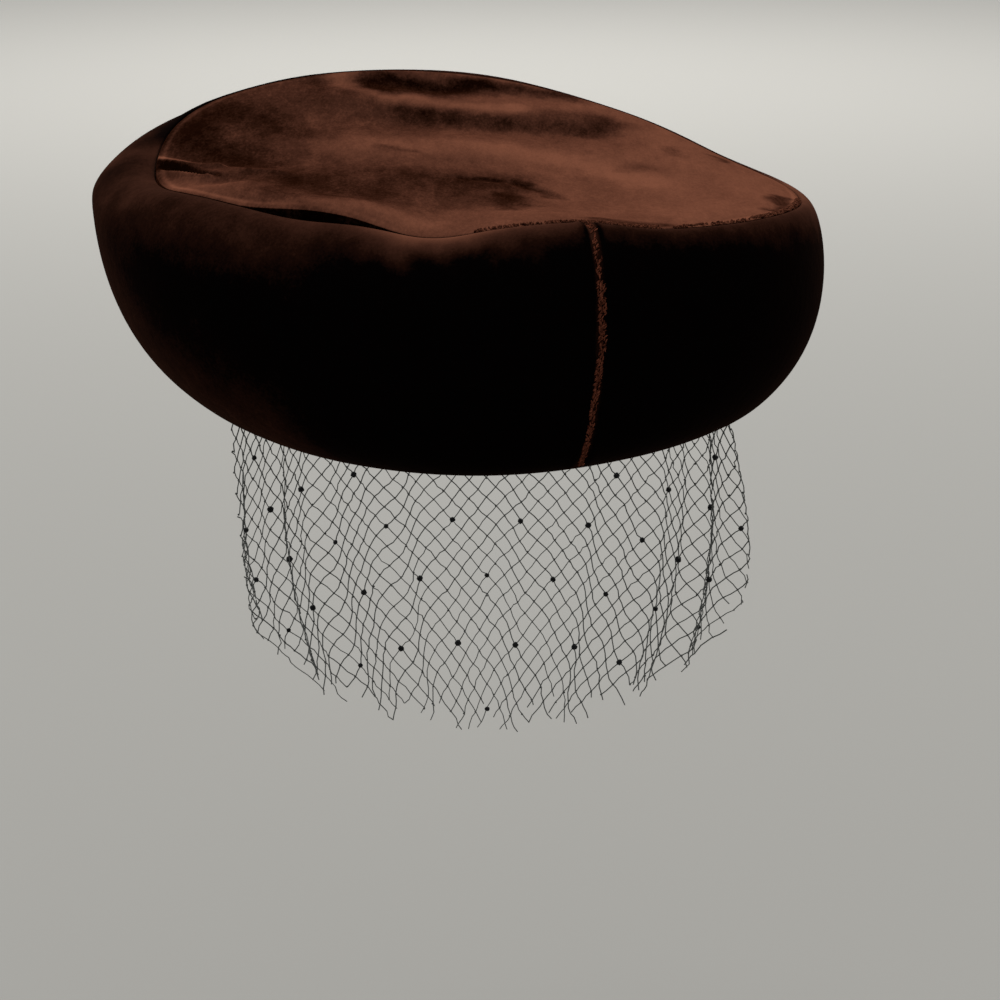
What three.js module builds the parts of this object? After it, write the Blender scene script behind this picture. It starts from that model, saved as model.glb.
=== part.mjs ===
// Half hat: a velvet hat with a flat, softly sunken tip panel, a wide rounded side band that turns under
// to the head opening, and a face veil of fine net that hangs from inside the band.
// Sizes are in millimetres. The hat stands as it is worn: +Z is up, the wearer faces -Y and the wearer's
// left is +X. The origin is the centre of the head opening. A bearing is the angle in degrees from the
// wearer's left, turning by the back: 0 is the left, 90 the back, 180 the right and 270 the front.

import * as THREE from 'three';
import { mergeVertices } from 'three/addons/utils/BufferGeometryUtils.js';

// Driving dimensions
const BAND_WALL = 3.0;
const TIP_WALL = 2.4;
const VEIL_WALL = 1.2;
const PIECE_GAP = 0.35;
const VEIL_GAP = 0.5;
const SEAM_HEIGHT = 72;
const TIP_SAG = 3;
const TIP_EDGE_PUFF = 1.5;
const VEIL_TOP = 8;

// Superellipse powers of the band's section, below and above its widest line, and how its roll is shared
// out: steep near the seam, and at its full rise a quarter of the way down
const LOWER_POWER = 1.9;
const UPPER_POWER = 2.0;
const ROLL_POWER = 4;
const ROLL_SCALE = 3.5;

// How the tip's height changes from its middle to the seam: the seam's own dips reach in by EDGE_POWER,
// the puff stands beside the seam by PUFF_POWER, and the folds stop short of the seam by FADE_POWER
const EDGE_POWER = 3;
const PUFF_POWER = 4;
const FADE_POWER = 16;

// How finely the curved walls are divided
const STEPS_ROUND = 64;
const STEPS_LOWER = 8;
const STEPS_UPPER = 7;
const STEPS_TIP = 12;
const STEPS_VEIL_ROUND = 40;
const STEPS_VEIL_DOWN = 12;

// The hat's section at each bearing. seamR and seamRise place the edge of the tip panel, with seamRise
// measured from SEAM_HEIGHT, and roll is how far the band stands up outside that seam. bulgeR and bulgeZ
// are the widest line of the band. rimR and rimZ are the turned-under edge round the head.
const SECTIONS = [
  { bearing: 0, seamR: 102, seamRise: 6, roll: 1.5, bulgeR: 122, bulgeZ: 66, rimR: 78, rimZ: 1 },
  { bearing: 30, seamR: 101, seamRise: 3, roll: 1.5, bulgeR: 117, bulgeZ: 56, rimR: 79, rimZ: 1 },
  { bearing: 60, seamR: 97, seamRise: 0, roll: 1, bulgeR: 113, bulgeZ: 50, rimR: 82, rimZ: -1 },
  { bearing: 90, seamR: 95, seamRise: 0, roll: 1, bulgeR: 110, bulgeZ: 46, rimR: 86, rimZ: -1 },
  { bearing: 120, seamR: 97, seamRise: -3, roll: 1, bulgeR: 108, bulgeZ: 44, rimR: 82, rimZ: 0 },
  { bearing: 150, seamR: 99, seamRise: -5, roll: 1, bulgeR: 106, bulgeZ: 42, rimR: 79, rimZ: 1 },
  { bearing: 180, seamR: 96, seamRise: -7, roll: 0.5, bulgeR: 105, bulgeZ: 42, rimR: 78, rimZ: 1 },
  { bearing: 210, seamR: 92, seamRise: -4, roll: 0.5, bulgeR: 102, bulgeZ: 44, rimR: 80, rimZ: 2 },
  { bearing: 240, seamR: 93, seamRise: 7, roll: 1, bulgeR: 103, bulgeZ: 52, rimR: 85, rimZ: 3 },
  { bearing: 270, seamR: 95, seamRise: 17, roll: 2.5, bulgeR: 107, bulgeZ: 60, rimR: 89, rimZ: 4 },
  { bearing: 300, seamR: 98, seamRise: 20, roll: 2, bulgeR: 114, bulgeZ: 66, rimR: 86, rimZ: 3 },
  { bearing: 330, seamR: 103, seamRise: 15, roll: 1, bulgeR: 118, bulgeZ: 66, rimR: 80, rimZ: 2 },
];

// Where the seam dips (a drop) or is drawn up (a negative drop), over reach degrees to either side
const SEAM_DIPS = [
  { bearing: 14, reach: 28, drop: 4 },
  { bearing: 81, reach: 14, drop: 4 },
  { bearing: 106, reach: 13, drop: -2 },
];

// Soft folds of the tip panel, from one place to another in plan. rise is above or below the panel, and
// a fold has died away at twice its width to its sides.
const TIP_FOLDS = [
  { fromX: 56, fromY: -76, toX: 20, toY: -82, width: 6, rise: -2.5 },
  { fromX: 20, fromY: -82, toX: -26, toY: -82, width: 6, rise: -2.5 },
  { fromX: 46, fromY: -62, toX: 4, toY: -60, width: 7, rise: 0.5 },
  { fromX: 4, fromY: -60, toX: -36, toY: -66, width: 7, rise: 0.5 },
  { fromX: 40, fromY: -44, toX: -36, toY: -48, width: 7, rise: -2 },
  { fromX: 48, fromY: -12, toX: 10, toY: -18, width: 12, rise: 1.5 },
  { fromX: 10, fromY: -18, toX: -40, toY: -26, width: 12, rise: 1.2 },
  { fromX: 98, fromY: 30, toX: 62, toY: 34, width: 5, rise: 2 },
  { fromX: 98, fromY: 39, toX: 72, toY: 42, width: 4, rise: -3 },
  { fromX: 96, fromY: 48, toX: 66, toY: 50, width: 5, rise: 2 },
  { fromX: 62, fromY: 66, toX: 30, toY: 80, width: 8, rise: 3 },
];

// The veil's form below the head opening: depth under the rim and the flare of its outline there
const VEIL_FLARE = [
  { depth: -10, flare: 1 },
  { depth: 5, flare: 1 },
  { depth: 30, flare: 1.035 },
  { depth: 58, flare: 1.05 },
  { depth: 84, flare: 1.01 },
  { depth: 106, flare: 0.93 },
  { depth: 124, flare: 0.82 },
  { depth: 140, flare: 0.66 },
];

// The veil runs forwards round the face between these bearings, and hangs lower in front than at its ends
const VEIL_START = 184;
const VEIL_END = 356;
const VEIL_DROP_ENDS = 64;
const VEIL_DROP_FRONT = 138;
const VEIL_HEM_POWER = 0.6;

const { clamp, degToRad, euclideanModulo, lerp, smoothstep } = THREE.MathUtils;

// Value of one column of SECTIONS at any bearing, on a smooth closed curve through the rows
function sectionValue(column, bearing) {
  const place = euclideanModulo(bearing, 360) / (360 / SECTIONS.length);
  const row = Math.floor(place);
  const [a, b, c, d] = [-1, 0, 1, 2].map((k) => SECTIONS[euclideanModulo(row + k, SECTIONS.length)][column]);
  const t = place - row;
  const bend = (2 * a - 5 * b + 4 * c - d) * t * t + (3 * b - a - 3 * c + d) * t * t * t;
  return b + 0.5 * ((c - a) * t + bend);
}

// A bump that is 1 at no distance and dies away smoothly at the reach
function bump(distance, reach) {
  return 1 - smoothstep(Math.abs(distance), 0, reach);
}

function seamHeight(bearing) {
  const dips = SEAM_DIPS.map((dip) => {
    const away = euclideanModulo(bearing - dip.bearing + 180, 360) - 180;
    return dip.drop * bump(away, dip.reach);
  });
  return SEAM_HEIGHT + sectionValue('seamRise', bearing) - dips.reduce((sum, drop) => sum + drop, 0);
}

// A point at a bearing, from its radius and height
function pointAt(bearing, radius, height) {
  const angle = degToRad(bearing);
  return new THREE.Vector3(radius * Math.cos(angle), radius * Math.sin(angle), height);
}

// Outer face of the band at one bearing, from the turned-under rim up to the seam, as (radius, height)
function outerProfile(bearing) {
  const seam = new THREE.Vector2(sectionValue('seamR', bearing), seamHeight(bearing));
  const bulge = new THREE.Vector2(sectionValue('bulgeR', bearing), sectionValue('bulgeZ', bearing));
  const rim = new THREE.Vector2(sectionValue('rimR', bearing), sectionValue('rimZ', bearing));
  const roll = sectionValue('roll', bearing);
  const quarter = (end, power, turn) => new THREE.Vector2(
    end.x + (bulge.x - end.x) * Math.cos(turn) ** (2 / power),
    bulge.y + (end.y - bulge.y) * Math.sin(turn) ** (2 / power),
  );
  const profile = [];
  for (let i = 0; i < STEPS_LOWER; i += 1) {
    profile.push(quarter(rim, LOWER_POWER, (Math.PI / 2) * (1 - i / STEPS_LOWER)));
  }
  for (let i = 0; i <= STEPS_UPPER; i += 1) {
    const turn = (Math.PI / 2) * (i / STEPS_UPPER);
    const point = quarter(seam, UPPER_POWER, turn);
    point.y += roll * ROLL_SCALE * Math.sin(turn) ** ROLL_POWER * Math.cos(turn);
    profile.push(point);
  }
  return profile;
}

// The same profile moved inwards by a wall
function innerProfile(profile, wall) {
  return profile.map((point, i) => {
    const before = profile[Math.max(i - 1, 0)];
    const after = profile[Math.min(i + 1, profile.length - 1)];
    const along = after.clone().sub(before).normalize();
    if (i === 0 || i === profile.length - 1) {
      along.set(Math.sign(along.x), 0);
    }
    return new THREE.Vector2(point.x - along.y * wall, point.y + along.x * wall);
  });
}

// Two triangles between a pair of neighbouring points on one line and the pair beside it
function quad(a, b, c, d) {
  return [a, b, c, a, c, d];
}

function bodyFrom(points, faces) {
  const geometry = new THREE.BufferGeometry();
  geometry.setAttribute('position', new THREE.Float32BufferAttribute(points.flatMap((p) => p.toArray()), 3));
  geometry.setIndex(faces);
  return geometry;
}

// Side band: a closed section carried all the way round the head
function makeSideBand() {
  const points = [];
  const faces = [];
  const sides = 2 * (STEPS_LOWER + STEPS_UPPER + 1);
  for (let i = 0; i < STEPS_ROUND; i += 1) {
    const bearing = (360 * i) / STEPS_ROUND;
    const outer = outerProfile(bearing);
    const section = [...outer, ...innerProfile(outer, BAND_WALL).reverse()];
    points.push(...section.map((p) => pointAt(bearing, p.x, p.y)));
    const here = i * sides;
    const there = ((i + 1) % STEPS_ROUND) * sides;
    for (let j = 0; j < sides; j += 1) {
      const next = (j + 1) % sides;
      faces.push(...quad(here + j, there + j, there + next, here + next));
    }
  }
  return bodyFrom(points, faces);
}

// The plane that fits the seam best, so that the panel follows the tilt of the whole hat
function seamPlane() {
  const sum = { level: 0, left: 0, back: 0 };
  SECTIONS.forEach((row) => {
    const angle = degToRad(row.bearing);
    const height = SEAM_HEIGHT + row.seamRise;
    sum.level += height / SECTIONS.length;
    sum.left += (2 * height * Math.cos(angle)) / SECTIONS.length;
    sum.back += (2 * height * Math.sin(angle)) / SECTIONS.length;
  });
  return sum;
}

// Rise of one fold at a place in plan: full along its line, less towards both ends and to the sides
function foldRise(fold, x, y) {
  const start = new THREE.Vector2(fold.fromX, fold.fromY);
  const line = new THREE.Vector2(fold.toX, fold.toY).sub(start);
  const away = new THREE.Vector2(x, y).sub(start);
  const along = clamp(away.dot(line) / line.lengthSq(), 0, 1);
  const aside = away.sub(line.clone().multiplyScalar(along)).length();
  return fold.rise * bump(aside, 2 * fold.width);
}

// Height of the tip panel's upper face, at a share of the way from its middle to the seam
function tipHeight(bearing, share) {
  const plane = seamPlane();
  const angle = degToRad(bearing);
  const atSeam = plane.level + plane.left * Math.cos(angle) + plane.back * Math.sin(angle);
  const tilted = lerp(plane.level, atSeam, share);
  const edge = (seamHeight(bearing) - atSeam) * share ** EDGE_POWER;
  const sag = TIP_SAG * (1 - share ** 2);
  const puff = TIP_EDGE_PUFF * Math.sin(Math.PI * share ** PUFF_POWER);
  const radius = sectionValue('seamR', bearing) * share;
  const folds = TIP_FOLDS.map((fold) => foldRise(fold, radius * Math.cos(angle), radius * Math.sin(angle)));
  const fade = 1 - share ** FADE_POWER;
  return tilted + edge - sag + puff + fade * folds.reduce((total, rise) => total + rise, 0);
}

// Tip: rings of points from the seam to the middle, on the lower and then the upper face
function makeTip() {
  const points = [];
  const faces = [];
  const addFace = (drop) => {
    const start = points.length;
    for (let k = STEPS_TIP; k >= 1; k -= 1) {
      const share = Math.sin((Math.PI / 2) * (k / STEPS_TIP));
      for (let i = 0; i < STEPS_ROUND; i += 1) {
        const bearing = (360 * i) / STEPS_ROUND;
        const radius = (sectionValue('seamR', bearing) - PIECE_GAP) * share;
        points.push(pointAt(bearing, radius, tipHeight(bearing, share) - drop));
      }
    }
    points.push(pointAt(0, 0, tipHeight(0, 0) - drop));
    return start;
  };
  const lower = addFace(TIP_WALL);
  const upper = addFace(0);
  const middle = STEPS_TIP * STEPS_ROUND;
  for (let i = 0; i < STEPS_ROUND; i += 1) {
    const next = (i + 1) % STEPS_ROUND;
    for (let k = 0; k < STEPS_TIP - 1; k += 1) {
      const ring = k * STEPS_ROUND;
      const inside = ring + STEPS_ROUND;
      faces.push(...quad(upper + ring + i, upper + ring + next, upper + inside + next, upper + inside + i));
      faces.push(...quad(lower + ring + next, lower + ring + i, lower + inside + i, lower + inside + next));
    }
    const last = (STEPS_TIP - 1) * STEPS_ROUND;
    faces.push(upper + last + i, upper + last + next, upper + middle);
    faces.push(lower + last + next, lower + last + i, lower + middle);
    faces.push(...quad(lower + i, lower + next, upper + next, upper + i));
  }
  return bodyFrom(points, faces);
}

// Flare of the veil's outline at a depth under the head opening, on straight lines between the rows
function veilFlare(depth) {
  const below = VEIL_FLARE.findIndex((row) => row.depth >= depth);
  const end = Math.max(below < 0 ? VEIL_FLARE.length - 1 : below, 1);
  const from = VEIL_FLARE[end - 1];
  const to = VEIL_FLARE[end];
  return lerp(from.flare, to.flare, (depth - from.depth) / (to.depth - from.depth));
}

// Veil: one curved wall hung round the face, open behind and below
function makeVeil() {
  const points = [];
  const faces = [];
  const rows = STEPS_VEIL_DOWN + 1;
  const addFace = (inset) => {
    const start = points.length;
    for (let i = 0; i <= STEPS_VEIL_ROUND; i += 1) {
      const turn = i / STEPS_VEIL_ROUND;
      const bearing = lerp(VEIL_START, VEIL_END, turn);
      const bottom = lerp(VEIL_DROP_ENDS, VEIL_DROP_FRONT, Math.sin(Math.PI * turn) ** VEIL_HEM_POWER);
      for (let j = 0; j < rows; j += 1) {
        const depth = lerp(-VEIL_TOP, bottom, j / STEPS_VEIL_DOWN);
        const outline = sectionValue('rimR', bearing) - VEIL_GAP - inset;
        points.push(pointAt(bearing, outline * veilFlare(depth), -depth));
      }
    }
    return start;
  };
  const outer = addFace(0);
  const inner = addFace(VEIL_WALL);
  for (let i = 0; i < STEPS_VEIL_ROUND; i += 1) {
    for (let j = 0; j < STEPS_VEIL_DOWN; j += 1) {
      const at = i * rows + j;
      faces.push(...quad(outer + at, outer + at + 1, outer + at + rows + 1, outer + at + rows));
      faces.push(...quad(inner + at, inner + at + rows, inner + at + rows + 1, inner + at + 1));
    }
    const top = i * rows;
    const foot = top + STEPS_VEIL_DOWN;
    faces.push(...quad(outer + top, outer + top + rows, inner + top + rows, inner + top));
    faces.push(...quad(outer + foot, inner + foot, inner + foot + rows, outer + foot + rows));
  }
  const last = STEPS_VEIL_ROUND * rows;
  for (let j = 0; j < STEPS_VEIL_DOWN; j += 1) {
    faces.push(...quad(outer + j, inner + j, inner + j + 1, outer + j + 1));
    faces.push(...quad(outer + last + j, outer + last + j + 1, inner + last + j + 1, inner + last + j));
  }
  return bodyFrom(points, faces);
}

const group = new THREE.Group();

function addPiece(name, geometry, color, roughness) {
  const material = new THREE.MeshStandardMaterial({ color, roughness, metalness: 0 });
  const mesh = new THREE.Mesh(mergeVertices(geometry), material);
  mesh.name = name;
  group.add(mesh);
}

addPiece('side_band', makeSideBand(), 0x24120d, 0.95);
addPiece('tip', makeTip(), 0x5a3527, 0.95);
addPiece('veil', makeVeil(), 0x17181a, 0.8);

export default group;
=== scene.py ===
"""Velvet half hat with a fine net face veil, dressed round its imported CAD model.

The hat stands as it is worn: +Z is up, the wearer faces -Y and the wearer's left is +X. A bearing is an
angle in degrees from the wearer's left, turning by the back, so that 90 is the back. Shapes are worked
out in millimetres and put into the meshes in metres.
"""

import logging
import math
from dataclasses import dataclass, field
from enum import Enum
from typing import Any, Iterable, Sequence

import bpy
import numpy as np
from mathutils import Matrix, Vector, noise
from mathutils.bvhtree import BVHTree

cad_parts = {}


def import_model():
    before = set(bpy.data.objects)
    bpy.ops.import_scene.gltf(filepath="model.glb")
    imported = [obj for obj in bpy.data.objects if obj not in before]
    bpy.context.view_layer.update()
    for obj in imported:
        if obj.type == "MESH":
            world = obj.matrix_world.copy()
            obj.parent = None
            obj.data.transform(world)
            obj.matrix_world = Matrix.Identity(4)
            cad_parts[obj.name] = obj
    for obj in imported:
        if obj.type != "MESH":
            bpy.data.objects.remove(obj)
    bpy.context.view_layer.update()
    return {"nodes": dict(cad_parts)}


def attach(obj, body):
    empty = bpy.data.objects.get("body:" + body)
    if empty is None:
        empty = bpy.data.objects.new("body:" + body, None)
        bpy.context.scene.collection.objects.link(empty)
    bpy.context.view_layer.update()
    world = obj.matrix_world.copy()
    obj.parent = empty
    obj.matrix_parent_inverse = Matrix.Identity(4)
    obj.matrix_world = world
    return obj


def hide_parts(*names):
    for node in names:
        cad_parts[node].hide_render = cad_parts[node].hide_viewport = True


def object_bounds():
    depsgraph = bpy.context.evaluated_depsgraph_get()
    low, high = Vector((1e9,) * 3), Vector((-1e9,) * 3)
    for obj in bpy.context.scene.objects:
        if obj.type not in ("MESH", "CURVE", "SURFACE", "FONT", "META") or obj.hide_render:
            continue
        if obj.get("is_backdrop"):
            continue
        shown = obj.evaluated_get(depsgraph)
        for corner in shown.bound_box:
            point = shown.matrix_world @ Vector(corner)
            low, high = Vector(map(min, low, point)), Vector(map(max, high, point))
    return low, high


log = logging.getLogger("half_hat")

MM = 0.001
BODY = "root"
NAP_AND_SHADING = "nap_and_shading"
TONE = "tone"

Place = tuple[float, float]


# ---------------------------------------------------------------- node tools


def linear(hex_colour: str) -> tuple[float, float, float, float]:
    """Turns an sRGB hex colour into the linear colour that sockets hold.

    Args:
        hex_colour: six hex digits, such as "a0b1c2".

    Returns:
        Red, green, blue and an alpha of 1.
    """
    channels = [int(hex_colour[i : i + 2], 16) / 255 for i in (0, 2, 4)]
    return (*[c / 12.92 if c <= 0.04045 else ((c + 0.055) / 1.055) ** 2.4 for c in channels], 1.0)


def add_node(
    tree: bpy.types.NodeTree,
    kind: str,
    settings: dict[str, Any] | None = None,
    values: dict[Any, Any] | None = None,
    links: dict[Any, bpy.types.NodeSocket] | None = None,
    stops: Sequence[tuple[float, str]] = (),
) -> bpy.types.Node:
    """Adds one node.

    Args:
        tree: the tree that it goes into.
        kind: its type without "ShaderNode", such as "Bump".
        settings: its own properties, by name.
        values: what its unlinked inputs hold, by name or place.
        links: the outputs that its inputs are linked to, by input name or place.
        stops: the places and sRGB hex colours of its colour ramp, where it has one.

    Returns:
        The node.
    """
    node = tree.nodes.new("ShaderNode" + kind)
    for name, value in (settings or {}).items():
        setattr(node, name, value)
    for name, value in (values or {}).items():
        node.inputs[name].default_value = value
    for name, source in (links or {}).items():
        tree.links.new(source, node.inputs[name])
    for place, colour in stops[1:-1]:
        node.color_ramp.elements.new(place).color = linear(colour)
    for end in (0, -1) if stops else ():
        node.color_ramp.elements[end].position = stops[end][0]
        node.color_ramp.elements[end].color = linear(stops[end][1])
    return node


def new_material(name: str) -> tuple[bpy.types.Material, bpy.types.NodeTree, bpy.types.Node]:
    """Makes a material that holds only an output node, and returns it with its tree and that node."""
    material = bpy.data.materials.new(name)
    material.use_nodes = True
    material.node_tree.nodes.clear()
    return material, material.node_tree, add_node(material.node_tree, "OutputMaterial")


# ---------------------------------------------------------------- mesh tools


def deselect_all() -> None:
    """Leaves object mode with nothing selected and nothing active."""
    if bpy.context.object and bpy.context.object.mode != "OBJECT":
        bpy.ops.object.mode_set(mode="OBJECT")
    bpy.ops.object.select_all(action="DESELECT")
    bpy.context.view_layer.objects.active = None


def select_only(piece: bpy.types.Object) -> None:
    """Makes one piece the only selected one, and the active one."""
    deselect_all()
    piece.select_set(True)
    bpy.context.view_layer.objects.active = piece


def apply_modifier(piece: bpy.types.Object, kind: str, **settings: Any) -> None:
    """Adds a modifier to a piece and applies it.

    Args:
        piece: the piece.
        kind: the modifier's type, such as "SUBSURF".
        settings: its own properties, by name.
    """
    select_only(piece)
    modifier = piece.modifiers.new(kind.title(), kind)
    for name, value in settings.items():
        setattr(modifier, name, value)
    bpy.ops.object.modifier_apply(modifier=modifier.name)


def copy_of_node(node: bpy.types.Object, name: str) -> bpy.types.Object:
    """Copies a CAD node's mesh into a new piece, merged and with its flat quads joined again.

    Args:
        node: the CAD node.
        name: the new piece's name.

    Returns:
        The piece, in object mode.
    """
    piece = bpy.data.objects.new(name, node.data.copy())
    piece.data.materials.clear()
    bpy.context.scene.collection.objects.link(piece)
    select_only(piece)
    bpy.ops.object.mode_set(mode="EDIT")
    bpy.ops.mesh.select_all(action="SELECT")
    bpy.ops.mesh.remove_doubles(threshold=0.02 * MM)
    bpy.ops.mesh.tris_convert_to_quads(face_threshold=math.radians(50), shape_threshold=math.radians(60))
    bpy.ops.object.mode_set(mode="OBJECT")
    return piece


def round_sharp_edges(piece: bpy.types.Object, size_mm: float) -> None:
    """Rounds the cut edges of a cloth wall, so that they stay neat under a subdivision surface."""
    select_only(piece)
    bpy.ops.object.mode_set(mode="EDIT")
    bpy.ops.mesh.select_mode(type="EDGE")
    bpy.ops.mesh.select_all(action="DESELECT")
    bpy.ops.mesh.edges_select_sharp(sharpness=math.radians(55))
    bpy.ops.mesh.bevel(offset=size_mm * MM, segments=2, affect="EDGES")
    bpy.ops.object.mode_set(mode="OBJECT")


def subdivide_faces(piece: bpy.types.Object, chosen: np.ndarray) -> None:
    """Cuts each chosen face of a piece into four."""
    select_only(piece)
    bpy.ops.object.mode_set(mode="EDIT")
    bpy.ops.mesh.select_mode(type="FACE")
    bpy.ops.mesh.select_all(action="DESELECT")
    bpy.ops.object.mode_set(mode="OBJECT")
    piece.data.polygons.foreach_set("select", chosen)
    bpy.ops.object.mode_set(mode="EDIT")
    bpy.ops.mesh.subdivide(number_cuts=1)
    bpy.ops.object.mode_set(mode="OBJECT")


def vertex_places(piece: bpy.types.Object) -> np.ndarray:
    """Returns the piece's vertices in millimetres, one row each."""
    flat = np.empty(len(piece.data.vertices) * 3, np.float32)
    piece.data.vertices.foreach_get("co", flat)
    return flat.reshape(-1, 3).astype(float) / MM


def move_vertices(piece: bpy.types.Object, places: np.ndarray) -> None:
    """Puts the piece's vertices at places in millimetres."""
    piece.data.vertices.foreach_set("co", (places * MM).astype(np.float32).ravel())
    piece.data.update()


def vertex_normals(piece: bpy.types.Object) -> np.ndarray:
    """Returns the piece's vertex normals, one row each."""
    flat = np.empty(len(piece.data.vertices) * 3, np.float32)
    piece.data.vertex_normals.foreach_get("vector", flat)
    return flat.reshape(-1, 3).astype(float)


def face_values(piece: bpy.types.Object, what: str) -> np.ndarray:
    """Returns each face's "center" in millimetres or its "normal", one row each."""
    flat = np.empty(len(piece.data.polygons) * 3, np.float32)
    piece.data.polygons.foreach_get(what, flat)
    return flat.reshape(-1, 3).astype(float) / (MM if what == "center" else 1)


def set_attribute(piece: bpy.types.Object, name: str, values: np.ndarray) -> None:
    """Stores one number for each vertex of a piece, for its material to read."""
    layer = piece.data.attributes.new(name, "FLOAT", "POINT")
    layer.data.foreach_set("value", values.astype(np.float32))


def shade_smooth(piece: bpy.types.Object, angle: float = 70) -> None:
    """Shades a piece smooth, apart from edges sharper than an angle in degrees."""
    select_only(piece)
    bpy.ops.object.shade_smooth_by_angle(angle=math.radians(angle))


def casting_tree(piece: bpy.types.Object) -> BVHTree:
    """Makes the tree that rays are cast on for a piece, in metres."""
    corners = [v.co.copy() for v in piece.data.vertices]
    return BVHTree.FromPolygons(corners, [tuple(p.vertices) for p in piece.data.polygons])


def copies_as_piece(
    name: str, template: bpy.types.Object, origins: np.ndarray, frames: np.ndarray, tones: np.ndarray
) -> bpy.types.Object:
    """Copies a small modelled shape to many places, as one piece, and removes the shape.

    Args:
        name: the piece's name.
        template: the shape, at the origin, about one metre in radius.
        origins: one place in millimetres for each copy.
        frames: one 3 by 3 matrix for each copy, whose rows are its x, y and z in millimetres.
        tones: one number for each copy, stored on its vertices.

    Returns:
        The piece.
    """
    shape = vertex_places(template) * MM
    faces = [np.array(p.vertices) for p in template.data.polygons]
    points = origins[:, None, :] + np.einsum("vi,nij->nvj", shape, frames)
    mesh = bpy.data.meshes.new(name)
    rows = [(face + i * len(shape)).tolist() for i in range(len(origins)) for face in faces]
    mesh.from_pydata((points.reshape(-1, 3) * MM).tolist(), [], rows)
    mesh.update()
    piece = bpy.data.objects.new(name, mesh)
    bpy.context.scene.collection.objects.link(piece)
    set_attribute(piece, TONE, np.repeat(tones, len(shape)))
    bpy.data.objects.remove(template, do_unlink=True)
    shade_smooth(piece)
    return piece


# ------------------------------------------------------- lines on the cloth


def bearing_of(places: np.ndarray) -> np.ndarray:
    """Returns the bearing of each place round the upright axis, in degrees."""
    return np.degrees(np.arctan2(places[:, 1], places[:, 0])) % 360


def radius_of(places: np.ndarray) -> np.ndarray:
    """Returns how far each place is from the upright axis."""
    return np.hypot(places[:, 0], places[:, 1])


def bearing_gap(bearings: np.ndarray, middle: float) -> np.ndarray:
    """Returns how far each bearing is past a middle one, from -180 to 180 degrees."""
    return (bearings - middle + 180) % 360 - 180


def outward(bearings: np.ndarray) -> np.ndarray:
    """Returns the level direction away from the axis at each bearing."""
    turn = np.radians(bearings)
    return np.stack([np.cos(turn), np.sin(turn), np.zeros_like(turn)], axis=-1)


def eased(share: np.ndarray) -> np.ndarray:
    """Eases shares that run from 0 to 1, and holds them there outside it."""
    t = np.clip(share, 0, 1)
    return t * t * (3 - 2 * t)


def bump(distance: np.ndarray, reach: float) -> np.ndarray:
    """A smooth bump that is 1 at no distance and 0 from the reach on."""
    return eased(1 - np.abs(distance) / reach)


def smooth_noise(places: np.ndarray, size: float, seed: float) -> np.ndarray:
    """Returns a smooth noise from -1 to 1 at each place, with features of a size in the places' unit."""
    shift = Vector((seed, 2.7 * seed, -1.3 * seed))
    return np.array([noise.noise(Vector(p) / size + shift) for p in places])


def warped(places: np.ndarray, sizes: Sequence[Place]) -> np.ndarray:
    """Moves places about at random, so that what is drawn with them gets uneven edges.

    Args:
        places: the places.
        sizes: the size and the reach of each noise that moves them.

    Returns:
        The moved places.
    """
    moves = [
        reach * np.stack([smooth_noise(places, size, seed) for seed in (4.1, 9.7, 13.3)], axis=1)
        for size, reach in sizes
    ]
    return places + sum(moves)


class Profile(Enum):
    """How a stroke falls off to its sides: as a soft swelling, or from a crisp crest."""

    SOFT = "soft"
    CRISP = "crisp"


@dataclass(frozen=True)
class Stroke:
    """A line drawn on the cloth, whose effect is full on it and none at its reach, in millimetres."""

    path: tuple[Place, ...]
    reach: float
    amount: float
    profile: Profile = Profile.SOFT

    def effect(self, places: np.ndarray) -> np.ndarray:
        """Returns the stroke's effect at each flat place."""
        nearest = np.full(len(places), np.inf)
        for start, end in zip(self.path, self.path[1:]):
            line = np.subtract(end, start)
            away = places - np.array(start)
            along = np.clip(away @ line / (line @ line), 0, 1)
            nearest = np.minimum(nearest, np.linalg.norm(away - along[:, None] * line, axis=1))
        if self.profile is Profile.CRISP:
            return self.amount * np.clip(1 - nearest / self.reach, 0, 1) ** 1.5
        return self.amount * bump(nearest, self.reach)


def drawn(strokes: Sequence[Stroke], places: np.ndarray) -> np.ndarray:
    """Returns the summed effect of strokes at each flat place."""
    return sum((s.effect(places) for s in strokes), np.zeros(len(places)))


# ------------------------------------------------------------------- finishes


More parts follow.
